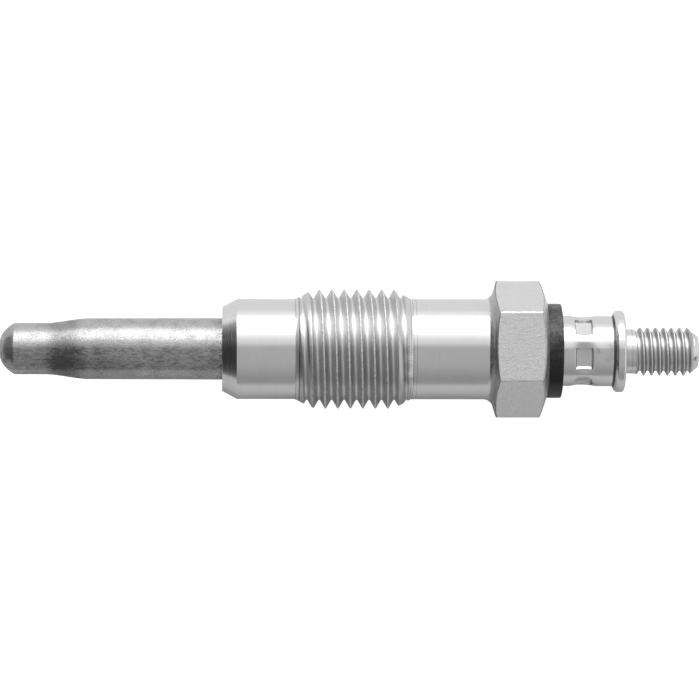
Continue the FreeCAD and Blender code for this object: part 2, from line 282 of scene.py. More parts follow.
# %% Floor
FLOOR_HALF = 1.5
FLOOR_GREY = 0.6
SEEN_GLOW = 0.9
MIRRORED_GLOW = 0.24
MIRRORED_GLOW_FAR_SIDE = 0.03
GLOW_CHANGES_WITHIN = 0.01

floor_height = cad_low.z
square = [(-1, -1), (1, -1), (1, 1), (-1, 1)]
floor = studio_sheet("floor", [(x * FLOOR_HALF, y * FLOOR_HALF, floor_height) for x, y in square])

paper, graph = new_finish("white_paper")
rays = graph.add("ShaderNodeLightPath")
mirrored = rays.output("Is Glossy Ray").most(rays.output("Is Transmission Ray"))
ground = graph.add("ShaderNodeSeparateXYZ", {}, [graph.add("ShaderNodeTexCoord").output("Object")])
box_side = ground.output("Y").ramp(-GLOW_CHANGES_WITHIN, GLOW_CHANGES_WITHIN)
mirrored_glow = box_side * (MIRRORED_GLOW - MIRRORED_GLOW_FAR_SIDE) + MIRRORED_GLOW_FAR_SIDE
glow_level = rays.output("Is Camera Ray") * SEEN_GLOW + mirrored * mirrored_glow
glow = graph.add("ShaderNodeEmission", {}, {"Color": grey(1), "Strength": glow_level})
matt = graph.add("ShaderNodeBsdfDiffuse", {}, {"Color": grey(FLOOR_GREY)})
both = graph.add("ShaderNodeAddShader", {}, [glow, matt])
graph.add("ShaderNodeOutputMaterial", {}, {"Surface": both})
floor.data.materials.append(paper)
print("floor at", round(floor_height / MM, 2), "mm")

# %% [markdown]
# A photographer puts a black card beyond a shiny end to give it a dark edge. This one stands past
# the hot tip. The camera doesn't see it, but the dome of the tip does.

# %% Black card
CARD_PLACE = -52
CARD_HALF_WIDTH = 22
CARD_HEIGHT = 29
CARD_GREY = 0.07

upright = [(-1, 0), (1, 0), (1, 1), (-1, 1)]
card = studio_sheet("black_card", [
    (CARD_PLACE * MM, side * CARD_HALF_WIDTH * MM, floor_height + top * CARD_HEIGHT * MM)
    for side, top in upright
])
card.visible_camera = False
card.visible_shadow = False

black, graph = new_finish("black_card")
matt = graph.add("ShaderNodeBsdfDiffuse", {}, {"Color": grey(CARD_GREY)})
graph.add("ShaderNodeOutputMaterial", {}, {"Surface": matt})
card.data.materials.append(black)
print("black card at", CARD_PLACE, "mm")

# %% [markdown]
# Every finish is one Principled shader on Object coordinates, turned to millimetres so that the
# sizes of scratches and stains can be written as one would measure them. A few helpers cover
# what the finishes share: the place on the plug, noise, smudges, relief and the shader itself.

# %% Helpers for finishes
def places(graph):
    """The place on the plug in millimetres: as a vector, and its x, y and z."""
    raw = graph.add("ShaderNodeTexCoord").output("Object")
    spot = graph.add("ShaderNodeVectorMath", {"operation": "SCALE"}, {"Vector": raw, "Scale": 1 / MM})
    split = graph.add("ShaderNodeSeparateXYZ", {}, [spot])
    return spot, split.output("X"), split.output("Y"), split.output("Z")


def stretched(graph, spot, scales):
    """The place with each axis scaled by its own number: small numbers draw a pattern out."""
    return graph.add("ShaderNodeVectorMath", {"operation": "MULTIPLY"}, [spot, scales])


def noise(graph, spot, scale=1.0, detail=3.0, roughness=0.55):
    """Noise between 0 and 1, with scale grains to the millimetre."""
    inputs = {"Vector": spot, "Scale": scale, "Detail": detail, "Roughness": roughness}
    return graph.add("ShaderNodeTexNoise", {"noise_dimensions": "3D"}, inputs)


def smudge(graph, spot, grains, place, size):
    """1 in the middle of a small ragged smudge round a place, 0 beyond size millimetres from it."""
    gap = graph.add("ShaderNodeVectorMath", {"operation": "DISTANCE"}, [spot, place]).output("Value")
    return 1 - (gap + (grains - 0.5) * size * 2).ramp(0, size)


def bump(graph, height, depth):
    """A normal from a height between 0 and 1 and the depth in millimetres that it stands for."""
    return graph.add("ShaderNodeBump", {}, {"Strength": 1.0, "Distance": depth * MM, "Height": height})


def close_finish(material, graph, inputs):
    """Ends a finish with its Principled shader, from the shader's inputs."""
    shader = graph.add("ShaderNodeBsdfPrincipled", {}, inputs)
    graph.add("ShaderNodeOutputMaterial", {}, {"Surface": shader})
    print(material.name, "has", len(material.node_tree.nodes), "nodes")
    return material


# %% [markdown]
# The shell, the nut and the stud are zinc-plated steel: bright, with fine rings left by the
# lathe. The rings are noise drawn out round the axis by giving Y and Z small scales. They tilt
# the surface a little along X and vary its gloss. One small class holds what such a finish needs:
# where a point is, and how dull, rough and high the metal is there. What is special to a part,
# such as a thread or a scratch, is then added to it by a function of its own.
# On this plug the pin leans by less than half a degree where it leaves the tube, and the ring and
# the nut lean with it, so their distances from the axis are measured from that line.

# %% Plated steel
STEEL_LIGHT = 0.84
STEEL_GRIMY = 0.12
FULL_GRIME = 2.0
PLATING_RELIEF = 0.009
TUBE_REAR = 12.4
LEAN_FROM = TUBE_REAR
LEAN_SLOPE = 0.007


class Plating:
    """Plated steel while it is described: where a point is, and how dull, rough and high it is."""

    def __init__(self, name, roughness, leaning=False):
        self.material, self.graph = new_finish(name)
        self.spot, self.x, self.y, self.z = places(self.graph)
        if leaning:
            self.y = self.y + (self.x - LEAN_FROM).most(0) * LEAN_SLOPE
        self.reach = (self.y * self.y + self.z * self.z).math("SQRT")
        drawn_out = stretched(self.graph, self.spot, (3.6, 0.45, 0.45))
        self.rings = noise(self.graph, drawn_out, detail=5.0, roughness=0.7)
        self.clouds = noise(self.graph, self.spot, scale=0.45, detail=4.0)
        self.grains = noise(self.graph, self.spot, scale=5.5, detail=2.0)
        self.dull = self.clouds.ramp(0.45, 0.8) * 0.16 + self.rings.ramp(0.5, 0.8) * 0.14
        self.roughness = roughness + (self.rings - 0.5) * 0.14 + self.clouds * 0.05
        self.height = self.rings

    def finished(self):
        grime = self.dull.least(FULL_GRIME) / FULL_GRIME
        inputs = {
            "Base Color": self.graph.mixed(grime, grey(STEEL_LIGHT), grey(STEEL_GRIMY)),
            "Metallic": 1.0,
            "Roughness": self.roughness,
            "Normal": bump(self.graph, self.height, PLATING_RELIEF),
        }
        return close_finish(self.material, self.graph, inputs)


print("the pin leans by", round(math.degrees(math.atan(LEAN_SLOPE)), 2), "degrees")

# %% [markdown]
# Four things mark the plating. Hollows, such as the corner in front of a flange, get painted shade.
# A head that was milled and not turned has pits and specks in place of rings, a duller cone in
# front, and a fine dark line where each cone cuts its flats. A thread has grime on its flanks,
# painted shade on top of it on the flanks on the side away from the soft box, tool marks that
# follow the distance from the axis, and nicks in its crest. Last come single smudges, some of
# them painted shade, and the fine lines that a tool leaves where it stops.

# %% Grime and milled faces
def add_hollow_shade(steel, start, end, outer):
    """Painted shade in a hollow that runs from start to end along X and lies inside the outer radius."""
    hollow = steel.x.ramp(start, start + 0.05) * (1 - steel.x.ramp(end - 0.05, end))
    hollow = hollow * (1 - steel.reach.ramp(outer - 0.06, outer))
    steel.dull = steel.dull + hollow * (1.7 + steel.grains)
    steel.roughness = steel.roughness + hollow * 0.1


def behind_cone(steel, cone):
    """How far behind a cone (x, radius, slope) a point lies, in millimetres along X."""
    place, radius, slope = cone
    return steel.x - (steel.reach - radius) * slope - place


def add_milling(steel, start, end, added_roughness, cones, flats):
    """Milled faces from start to end along X, between two cones. flats is their distance from the
    axis, and the lines along the cones' edges are drawn from there outwards."""
    milled = steel.x.ramp(start - 0.1, start + 0.2) * (1 - steel.x.ramp(end - 0.05, end + 0.05))
    pits = noise(steel.graph, steel.spot, scale=3.4, detail=4.0, roughness=0.8)
    specks = noise(steel.graph, steel.spot, scale=6.0, detail=1.0).ramp(0.6, 0.66)
    steel.roughness = steel.roughness + milled * added_roughness
    steel.height = steel.height * (1 - milled) + milled * (pits * 3.2 + specks * 4.0)
    on_front_cone = milled * (1 - (behind_cone(steel, cones[0]) - steel.grains * 0.12).ramp(0, 0.05))
    steel.dull = steel.dull * (1 - milled) + milled * pits.ramp(0.48, 0.7) * 0.2 + on_front_cone * 0.9
    for cone in cones:
        off_edge = behind_cone(steel, cone).math("ABSOLUTE")
        line = off_edge.ramp(0.02, 0.04) * (1 - (off_edge - steel.grains * 0.12).ramp(0.03, 0.07))
        steel.dull = steel.dull + milled * line * steel.reach.ramp(flats - 0.15, flats - 0.05)


# %% Threads
def add_thread(steel, start, end, root, crest, grime, far_side_shade, nicks):
    """A thread from start to end along X, between its root and crest radius. grime lies on all of
    its flanks; the argument after it is painted shade, added on top on the flanks on the side away
    from the soft box; and nicks is how strongly its crest is marked."""
    x, y, z, reach = steel.x, steel.y, steel.z, steel.reach
    threaded = x.ramp(start, start + 0.4) * (1 - x.ramp(end - 0.4, end))
    flank = reach.ramp(root, root + 0.1) * (1 - reach.ramp(crest - 0.1, crest))
    outwards = steel.graph.add("ShaderNodeCombineXYZ", {}, [reach * 11 + x * 1.5, y * 0.35, z * 0.35])
    marks = noise(steel.graph, outwards, detail=3.0, roughness=0.7)
    # Grime on all flanks, plus painted shade on the flanks on the side away from the soft box.
    flank_grime_and_shade = flank * ((1 - y.ramp(-0.5, 1.0)) * far_side_shade + grime)
    shade = flank_grime_and_shade + marks.ramp(0.45, 0.7) * 0.2 + steel.grains * 0.1
    steel.dull = steel.dull * (1 - threaded) + threaded * shade
    steel.roughness = steel.roughness + threaded * (marks * 0.08 + flank * 0.03 + 0.11)
    steel.height = steel.height + threaded * (steel.grains * 0.8 + marks * 1.2)
    edge = reach.ramp(crest - 0.1, crest - 0.03)
    steel.roughness = steel.roughness + threaded * edge * 0.25
    chips = noise(steel.graph, steel.spot, scale=3.5, detail=2.0, roughness=0.8).ramp(0.5, 0.6)
    nicked = chips * reach.ramp(crest - 0.2, crest - 0.08)
    steel.dull = steel.dull + threaded * nicked * nicks
    steel.height = steel.height + threaded * nicked * nicks * 3


# %% Single marks
def add_smudge(steel, place, size, strength):
    """A dark mark round a place (x, y, z)."""
    steel.dull = steel.dull + smudge(steel.graph, steel.spot, steel.grains, place, size) * strength


def add_line(steel, place, half_width):
    """A fine dark line round the part, a little uneven."""
    off_line = (steel.x - place + (steel.clouds - 0.5) * 0.1).math("ABSOLUTE")
    line = 1 - off_line.ramp(half_width * 0.4, half_width)
    steel.dull = steel.dull + line * (0.5 + steel.grains * 0.6)


# %% [markdown]
# The heater tube is a nickel alloy that was drawn and swaged, so it is duller and darker than
# the plating, with streaks along its length, cloudy oxide and a dark stain where the die
# squeezed it. Streaks are noise drawn out along X, and the stain and its fainter tail are soft
# balls round two places. One band along the tube, on the side away from the soft box, is made
# streakier and darker: painted shade that gives the tube's highlight a hard lower edge.

# %% Heater alloy
ALLOY_LIGHT = 0.57
ALLOY_DARK = 0.1
STAIN_PLACE = (-16.0, -1.4, 2.2)
STAIN_REACH = 3.4
TAIL_PLACE = (-12.4, -1.4, 2.4)
TAIL_REACH = 4.2
NICK_PLACE = (-14.4, -2.9, 0.7)
NICK_REACH = 0.35
SWAGE_FROM = -17.2
SWAGE_TO = -13.8


def heater_alloy():
    material, graph = new_finish("heater_alloy")
    spot, x, y, _ = places(graph)
    streaks = noise(graph, stretched(graph, spot, (1.4, 4.6, 4.6)), detail=4.0, roughness=0.7)
    clouds = noise(graph, spot, scale=0.7, detail=5.0, roughness=0.65)
    grains = noise(graph, spot, scale=7.5, detail=2.0, roughness=0.7)
    fine_grains = grains.ramp(0.4, 0.65)
    sparks = noise(graph, spot, scale=7.0, detail=1.0).ramp(0.62, 0.68)
    stain = smudge(graph, spot, clouds, STAIN_PLACE, STAIN_REACH)
    tail = smudge(graph, spot, clouds, TAIL_PLACE, TAIL_REACH)
    nick = smudge(graph, spot, grains, NICK_PLACE, NICK_REACH)
    joint = x.ramp(-0.6, -0.05) * (grains + streaks).ramp(1.0, 1.15)
    swaged = x.ramp(SWAGE_FROM - 0.6, SWAGE_FROM + 0.8) * (1 - x.ramp(SWAGE_TO - 1.6, SWAGE_TO + 0.6))
    # Painted shade: the band on the side away from the soft box is darker and streakier, and the oxide and
    # shade below carry it.
    painted_shade_band = y.ramp(-2.35, -2.0) * (1 - y.ramp(-0.25, 0.3))
    oxide = streaks.ramp(0.38, 0.68) * (painted_shade_band * 0.35 + 0.08) + clouds.ramp(0.4, 0.65) * 0.25
    oxide = oxide + fine_grains * (0.22 - painted_shade_band * 0.1) + painted_shade_band * 0.14
    shade = oxide + stain * 0.33 + tail * 0.2 + swaged * 0.36 + joint * 0.7 + nick - sparks * 0.25
    height = grains * (0.7 - painted_shade_band * 0.4) + clouds * 0.5
    inputs = {
        "Base Color": graph.mixed(shade.least(1.0), grey(ALLOY_LIGHT), grey(ALLOY_DARK)),
        "Metallic": 0.75,
        "Roughness": 0.21 + clouds * 0.08 + fine_grains * 0.1 + stain * 0.1 - sparks * 0.08,
        "Normal": bump(graph, height, 0.02),
    }
    return close_finish(material, graph, inputs)


# %% [markdown]
# The insulating ring is moulded, filled plastic: black, with the soft mottled shine of a skin
# that has flowed in a mould. A coat carries the shine, and noise varies it and the skin below.
# A pale mottled tone grows towards the soft box's side: partly dust, and partly painted light on the side
# that the soft box lights.

# %% Black plastic
PLASTIC_BLACK = 0.003
PLASTIC_DUSTY_LIT = 0.1


def washer_plastic():
    material, graph = new_finish("washer_plastic")
    spot, _, y, _ = places(graph)
    skin = noise(graph, spot, scale=1.3, detail=4.0, roughness=0.6)
    flecks = noise(graph, spot, scale=5.0, detail=2.0)
    # Mottled dust, faded in towards +Y, the soft box's side, so it is also painted light there.
    dust_and_lit_side = (skin * 0.6 + flecks * 0.4).ramp(0.33, 0.68) * y.ramp(-3, 3.2)
    inputs = {
        "Base Color": graph.mixed(dust_and_lit_side, grey(PLASTIC_BLACK), grey(PLASTIC_DUSTY_LIT)),
        "IOR": 1.4,
        "Roughness": 0.28 + skin * 0.14,
        "Coat Weight": flecks * 0.6,
        "Coat Roughness": 0.25,
        "Normal": bump(graph, skin + flecks * 0.8, 0.016),
    }
    return close_finish(material, graph, inputs)


# %% [markdown]
# Three kinds of part sit inside and are only seen when the plug is taken apart: the coils, the
# magnesia powder that insulates them, and two rubber seals. Their CAD solids have the right
# shape, so they stay, and only get a finish. The coils' turns are rings of bump and shade along
# X, as wide as the wire.

# %% Finishes of the hidden parts
WIRE_DARK = 0.07
WIRE_LIGHT = 0.46


def coil_wire(name, wire):
    """Close-wound wire: one ridge for each thickness of wire along X."""
    material, graph = new_finish(name)
    spot, x, y, z = places(graph)
    lean = y.math("ARCTAN2", z) / math.tau
    ridge = (((x / wire + lean) * math.tau).math("COSINE") + 1) * 0.5
    oxide = noise(graph, spot, scale=1.5)
    shade = ridge.ramp(0.1, 0.7) * (0.6 + oxide * 0.4)
    inputs = {
        "Base Color": graph.mixed(shade, grey(WIRE_DARK), grey(WIRE_LIGHT)),
        "Metallic": 1.0,
        "Roughness": 0.5 - ridge * 0.15,
        "Normal": bump(graph, ridge, wire / 2),
    }
    return close_finish(material, graph, inputs)


def soft_solid(name, dark, light, grain_per_mm, roughness):
    """Powder or rubber: one grain of noise in shade, gloss and relief."""
    material, graph = new_finish(name)
    spot, *_ = places(graph)
    grain = noise(graph, spot, scale=grain_per_mm, detail=4.0, roughness=0.7)
    inputs = {
        "Base Color": graph.mixed(grain.ramp(0.3, 0.7), grey(dark), grey(light)),
        "Roughness": roughness + grain * 0.15,
        "Normal": bump(graph, grain, 0.02),
    }
    return close_finish(material, graph, inputs)


magnesia = soft_solid("magnesia", dark=0.68, light=0.82, grain_per_mm=9.0, roughness=0.8)
seal_rubber = soft_solid("seal_rubber", dark=0.015, light=0.03, grain_per_mm=3.0, roughness=0.55)
hidden_finishes = {
    "heating_coil": coil_wire("heating_wire", wire=0.35),
    "regulating_coil": coil_wire("regulating_wire", wire=0.3),
    "magnesia_filling": magnesia,
    "magnesia_core": magnesia,
    "tube_seal": seal_rubber,
    "housing_seal": seal_rubber,
}
for node, finish in hidden_finishes.items():
    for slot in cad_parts[node].material_slots:
        slot.material = finish
print("CAD nodes that stay:", sorted(hidden_finishes))

# %% [markdown]
# All pieces are turned parts, so their meshes are grids: one profile from front to rear, repeated
# round the axis. A profile is a list of corners, and no real corner is perfectly sharp, so each
# gets a small arc, and one more point beside each end of it keeps the flat beyond it flat when
# the mesh is shaded smooth.

# %% Profiles with softened corners
BESIDE_ARC = 0.03
ARC_STEPS = 3
LONG_ARC_STEPS = 8


def arc_at(corner, before, after, rounding, steps):
    """The points that replace a corner: an arc, and one point beside each of its ends."""
    back = (before - corner).normalized()
    ahead = (after - corner).normalized()
    half = back.angle(ahead) / 2
    reach = rounding / math.tan(half)
    centre = corner + (back + ahead).normalized() * (rounding / math.sin(half))
    first = corner + back * reach - centre
    start = math.atan2(first.y, first.x)
    side = math.copysign(1, back.x * ahead.y - back.y * ahead.x)
    sweep = -side * (math.pi - 2 * half)
    arc = []
    for step in range(steps + 1):
        angle = start + sweep * step / steps
        arc.append(centre + Vector((math.cos(angle), math.sin(angle))) * rounding)
    beside = reach + BESIDE_ARC
    return [corner + back * beside, *arc, corner + ahead * beside]


def softened(corners):
    """A profile from corners (place, radius), with a third value where the corner is rounded and a
    fourth for the number of steps in that arc."""
    points = []
    for index, (place, radius, *arc) in enumerate(corners):
        here = Vector((place, radius))
        if not arc:
            points.append(here)
            continue
        before = Vector(corners[index - 1][:2])
        after = Vector(corners[index + 1][:2])
        steps = arc[1] if len(arc) > 1 else ARC_STEPS
        points += arc_at(here, before, after, arc[0], steps)
    return points


# %% Grids round the axis
def on_plug(place, radius, angle):
    """A point in metres; the angle runs from +Y towards +Z."""
    return Vector((place, radius * math.cos(angle), radius * math.sin(angle))) * MM


def add_turned(shape, columns, looped=False):
    """Adds to a bmesh the grid through columns of points, joined all the way round."""
    grid = [[shape.verts.new(point) for point in column] for column in columns]
    last = len(grid[0]) if looped else len(grid[0]) - 1
    for left, right in zip(grid, grid[1:] + grid[:1]):
        for row in range(last):
            above = (row + 1) % len(left)
            shape.faces.new((left[row], right[row], right[above], left[above]))


def turned_columns(corners, count):
    """The same softened profile at evenly spread angles."""
    profile = softened(corners)
    angles = [math.tau * index / count for index in range(count)]
    return [[on_plug(place, radius, angle) for place, radius in profile] for angle in angles]


# %% Closing a piece
SHARP_ABOVE = math.radians(34)
MERGE_WITHIN = 0.0002 * MM


def close_piece(name, shape, finish, node, leaning=False):
    """Merges the seams of a bmesh, turns its faces outwards and makes it a piece of the plug."""
    if leaning:
        for vertex in shape.verts:
            vertex.co.y -= max(0, vertex.co.x - LEAN_FROM * MM) * LEAN_SLOPE
    bmesh.ops.remove_doubles(shape, verts=shape.verts, dist=MERGE_WITHIN)
    bmesh.ops.recalc_face_normals(shape, faces=shape.faces)
    open_edges = sum(1 for edge in shape.edges if len(edge.link_faces) != 2)
    mesh = bpy.data.meshes.new(name)
    shape.to_mesh(mesh)
    shape.free()
    mesh.shade_smooth()
    mesh.set_sharp_from_angle(angle=SHARP_ABOVE)
    mesh.materials.append(finish)
    piece = bpy.data.objects.new(name, mesh)
    bpy.context.scene.collection.objects.link(piece)
    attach(piece, "root")
    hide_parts(node)
    triangles = sum(len(face.vertices) - 2 for face in mesh.polygons)
    print(f"{name}: {triangles} triangles, {open_edges} open edges")


# %% [markdown]
# A screw thread follows a rule: on each turn round the axis the profile moves on by one pitch.
# So both threads come from one Geometry Nodes tree. A flat grid is rolled round the axis, and
# its rows climb with the angle as the thread does. Where a row would leave the threaded stretch
# it is held at the end, so the grid ends in two plain rings that the turned grids join. The
# radius is the thread's flank, held between root and crest, and then cut by the lead-in and the
# run-out. Rows crowd at crests and roots, where the profile bends, and are sparse on the straight
# flanks. Columns can crowd at six angles, because the shell's grid needs them at its corners.

# %% Thread tree
THREAD_INPUTS = [
    ("Front", "NodeSocketFloat"), ("Rear", "NodeSocketFloat"),
    ("Front radius", "NodeSocketFloat"), ("Rear radius", "NodeSocketFloat"),
    ("Pitch", "NodeSocketFloat"), ("First crest", "NodeSocketFloat"),
    ("Crest radius", "NodeSocketFloat"), ("Root radius", "NodeSocketFloat"),
    ("Crest flat", "NodeSocketFloat"), ("Rounding", "NodeSocketFloat"),
    ("Lead end", "NodeSocketFloat"), ("Lead power", "NodeSocketFloat"),
    ("Run-out start", "NodeSocketFloat"), ("Fade", "NodeSocketFloat"),
    ("Crowding", "NodeSocketFloat"), ("Columns", "NodeSocketInt"),
    ("Rows per turn", "NodeSocketInt"), ("Turns", "NodeSocketInt"),
    ("Finish", "NodeSocketMaterial"),
]
FLANK_SLOPE = 1 / math.tan(math.radians(30))
ROW_CROWDING = 0.88
TURNS_BEFORE = 1.1
TURNS_AFTER = 0.1
HEX_CORNERS = 6


def thread_tree():
    tree = bpy.data.node_groups.new("screw_thread", "GeometryNodeTree")
    tree.interface.new_socket("Thread", in_out="OUTPUT", socket_type="NodeSocketGeometry")
    for name, kind in THREAD_INPUTS:
        tree.interface.new_socket(name, in_out="INPUT", socket_type=kind)
    graph = Graph(tree)
    given = graph.add("NodeGroupInput")
    size = {name: given.output(name) for name, kind in THREAD_INPUTS}
    counts = {
        "Size X": 1.0, "Size Y": 1.0,
        "Vertices X": size["Columns"] + 1,
        "Vertices Y": size["Rows per turn"] * size["Turns"] + 1,
    }
    grid = graph.add("GeometryNodeMeshGrid", {}, counts)
    flat = graph.add("ShaderNodeSeparateXYZ", {}, [graph.add("GeometryNodeInputPosition")])
    even = (flat.output("X") + 0.5) * math.tau
    angle = even - size["Crowding"] * (even * HEX_CORNERS).math("SINE") / HEX_CORNERS
    turned = angle / math.tau
    climb = (flat.output("Y") + 0.5) * size["Turns"] - TURNS_BEFORE
    climb = climb + (size["Front"] - size["First crest"]) / size["Pitch"]
    climb = climb - (climb * (2 * math.tau)).math("SINE") * (ROW_CROWDING / (2 * math.tau))
    place = size["First crest"] + (climb + turned) * size["Pitch"]
    place = place.most(size["Front"]).least(size["Rear"])
    phase = (place - size["First crest"]) / size["Pitch"] - turned
    gap = (phase - phase.math("ROUND")).math("ABSOLUTE") * size["Pitch"]
    flank = size["Crest radius"] - (gap - size["Crest flat"] / 2) * FLANK_SLOPE
    radius = flank.math("SMOOTH_MAX", size["Root radius"], size["Rounding"])
    radius = radius.math("SMOOTH_MIN", size["Crest radius"], size["Rounding"])
    share = ((place - size["Front"]) / (size["Lead end"] - size["Front"])).most(0) ** size["Lead power"]
    lead = size["Front radius"] + (size["Crest radius"] - size["Front radius"]) * share.ramp(0, 1)
    after = ((place - size["Run-out start"]) / (size["Rear"] - size["Run-out start"])).most(0)
    run_out = size["Crest radius"] - (size["Crest radius"] - size["Rear radius"]) * after
    radius = radius.least(lead).least(run_out)
    shown = (place - size["Front"]).ramp(0, size["Fade"])
    radius = size["Front radius"] + (radius - size["Front radius"]) * shown
    rolled = graph.add("ShaderNodeCombineXYZ", {}, [
        place, radius * angle.math("COSINE"), radius * angle.math("SINE"),
    ])
    moved = graph.add("GeometryNodeSetPosition", {}, {"Geometry": grid, "Position": rolled})
    merged = graph.add("GeometryNodeMergeByDistance", {}, {"Geometry": moved, "Distance": MERGE_WITHIN})
    real = graph.add("GeometryNodeRealizeInstances", {}, {"Geometry": merged})
    finished = graph.add("GeometryNodeSetMaterial", {}, {"Geometry": real, "Material": size["Finish"]})
    graph.add("NodeGroupOutput", {}, [finished])
    print("thread tree of", len(tree.nodes), "nodes")
    return tree


THREAD_TREE = thread_tree()


# %% Run the thread tree
def thread_mesh(name, lengths, numbers, finish):
    """A thread as a plain mesh, from its lengths in millimetres and its other numbers."""
    holder_mesh = bpy.data.meshes.new(name)
    holder = bpy.data.objects.new(name, holder_mesh)
    bpy.context.scene.collection.objects.link(holder)
    modifier = holder.modifiers.new("thread", "NODES")
    modifier.node_group = THREAD_TREE
    values = {key: value * MM for key, value in lengths.items()} | numbers | {"Finish": finish}
    span = lengths["Rear"] - lengths["Front"]
    values["Turns"] = math.ceil(span / lengths["Pitch"] + TURNS_BEFORE + TURNS_AFTER)
    for item in THREAD_TREE.interface.items_tree:
        if item.in_out == "INPUT":
            modifier[item.identifier] = values[item.name]
    bpy.context.view_layer.update()
    evaluated = holder.evaluated_get(bpy.context.evaluated_depsgraph_get())
    mesh = bpy.data.meshes.new_from_object(evaluated)
    holder.modifiers.remove(modifier)
    bpy.data.objects.remove(holder)
    print(f"{name}: {len(mesh.polygons)} faces in {values['Turns']} turns")
    return mesh


# %% [markdown]
# The steel shell is one grid from the sealing cone to the hexagon. Its profile is the same at
# every angle but at the hexagon, where the radius follows a rounded hexagon and the cone and the
# chamfer end in arcs where the flats cut them, as on any turned and milled head. The grid's
# columns crowd at the six corners, so that their small roundings are really there. Under the
# head a fillet leads to the shank. The profile comes back through the bore, and the thread joins
# its two ends, so the shell is one closed skin.

# %% Shell sizes
FRONT_FACE_RADIUS = 4.22
SEALING_CONE_END = 1.47
PILOT_RADIUS = 5.015
SHANK_RADIUS = 5.03
THREAD_FRONT = 7.15
THREAD_REAR = 18.9
BESIDE_THREAD = 0.1
M12_PITCH = 1.25
M12_FIRST_CREST = 13.46
M12_CREST_RADIUS = 5.965
M12_ROOT_RADIUS = 5.1
HEX_HALF = 5.96
HEX_EDGE_ROUNDING = 0.18
HEX_REAR = 32.48
HEAD_CONE = (26.93, SHANK_RADIUS, 0.27)
HEAD_FILLET = 1.05
REAR_FACE_RADIUS = 4.9
REAR_CHAMFER_SLOPE = 0.352
REAR_CONE = (HEX_REAR, REAR_FACE_RADIUS, -REAR_CHAMFER_SLOPE)
HEAD_ROUNDING = 0.06
SEAT_ROUNDING = 0.05
COUNTERBORE_RADIUS = 3.5
COUNTERBORE_FLOOR = 29.38
PIN_BORE = 2.6
TUBE_SEAT_RADIUS = 3.25
SHELL_COLUMNS = 192
CROWDING = 0.7
print("hexagon of", 2 * HEX_HALF, "mm across flats")


# %% Hexagon and shell profile
def crowded_angles(count):
    """Angles all round that stand closer at the hexagon's six corners."""
    evenly = [math.tau * index / count for index in range(count)]
    return [angle - CROWDING * math.sin(HEX_CORNERS * angle) / HEX_CORNERS for angle in evenly]


def hexagon_radius(angle):
    """Distance from the axis to a hexagon with corners at 0, 60, ... degrees and rounded edges."""
    sector = math.tau / HEX_CORNERS
    off_corner = abs((angle + sector / 2) % sector - sector / 2)
    centre = (HEX_HALF - HEX_EDGE_ROUNDING) / math.cos(sector / 2)
    touch = math.atan2(
        HEX_EDGE_ROUNDING * math.sin(sector / 2),
        centre + HEX_EDGE_ROUNDING * math.cos(sector / 2),
    )
    if off_corner > touch:
        return HEX_HALF / math.cos(sector / 2 - off_corner)
    inner = HEX_EDGE_ROUNDING**2 - (centre * math.sin(off_corner)) ** 2
    return centre * math.cos(off_corner) + math.sqrt(inner)


def shell_profile(angle):
    """The shell's section at an angle: from behind the thread over the head, back through the bore
    and round the sealing cone to the thread's front."""
    corner = hexagon_radius(angle)
    cone_place, cone_radius, cone_slope = HEAD_CONE
    return softened([
        (THREAD_REAR, SHANK_RADIUS),
        (THREAD_REAR + BESIDE_THREAD, SHANK_RADIUS),
        (cone_place, cone_radius, HEAD_FILLET, LONG_ARC_STEPS),
        (cone_place + (corner - cone_radius) * cone_slope, corner, HEAD_ROUNDING),
        (HEX_REAR - (corner - REAR_FACE_RADIUS) * REAR_CHAMFER_SLOPE, corner, HEAD_ROUNDING),
        (HEX_REAR, REAR_FACE_RADIUS, HEAD_ROUNDING),
        (HEX_REAR, COUNTERBORE_RADIUS),
        (COUNTERBORE_FLOOR, COUNTERBORE_RADIUS),
        (COUNTERBORE_FLOOR, PIN_BORE),
        (TUBE_REAR, PIN_BORE),
        (TUBE_REAR, TUBE_SEAT_RADIUS),
        (0, TUBE_SEAT_RADIUS),
        (0, FRONT_FACE_RADIUS, SEAT_ROUNDING),
        (SEALING_CONE_END, PILOT_RADIUS, SEAT_ROUNDING),
        (THREAD_FRONT - BESIDE_THREAD, PILOT_RADIUS),
        (THREAD_FRONT, PILOT_RADIUS),
    ])


# %% Shell finish
MILLED_FROM = 26.6
# Smudges of painted shade behind the thread, on the side away from the soft box.
RUN_OUT_SHADE = [(18.5, -0.4, 5.1), (18.5, -1.9, 4.8), (18.5, -3.2, 4.0)]
# Pairs of the place and the half width of each fine line.
SHELL_LINES = [(7.3, 0.07), (7.66, 0.1), (18.75, 0.06), (18.98, 0.05), (19.33, 0.04)]


def shell_plating():
    steel = Plating("plated_steel", roughness=0.13)
    cones = (HEAD_CONE, REAR_CONE)
    add_milling(steel, MILLED_FROM, HEX_REAR, added_roughness=0.16, cones=cones, flats=HEX_HALF)
    add_thread(
        steel, THREAD_FRONT, THREAD_REAR, root=M12_ROOT_RADIUS + 0.04, crest=M12_CREST_RADIUS - 0.005,
        grime=0.3, far_side_shade=0.34, nicks=0.5,
    )
    for place in RUN_OUT_SHADE:
        add_smudge(steel, place, size=0.9, strength=0.6)
    for place, half_width in SHELL_LINES:
        add_line(steel, place, half_width)
    return steel.finished()


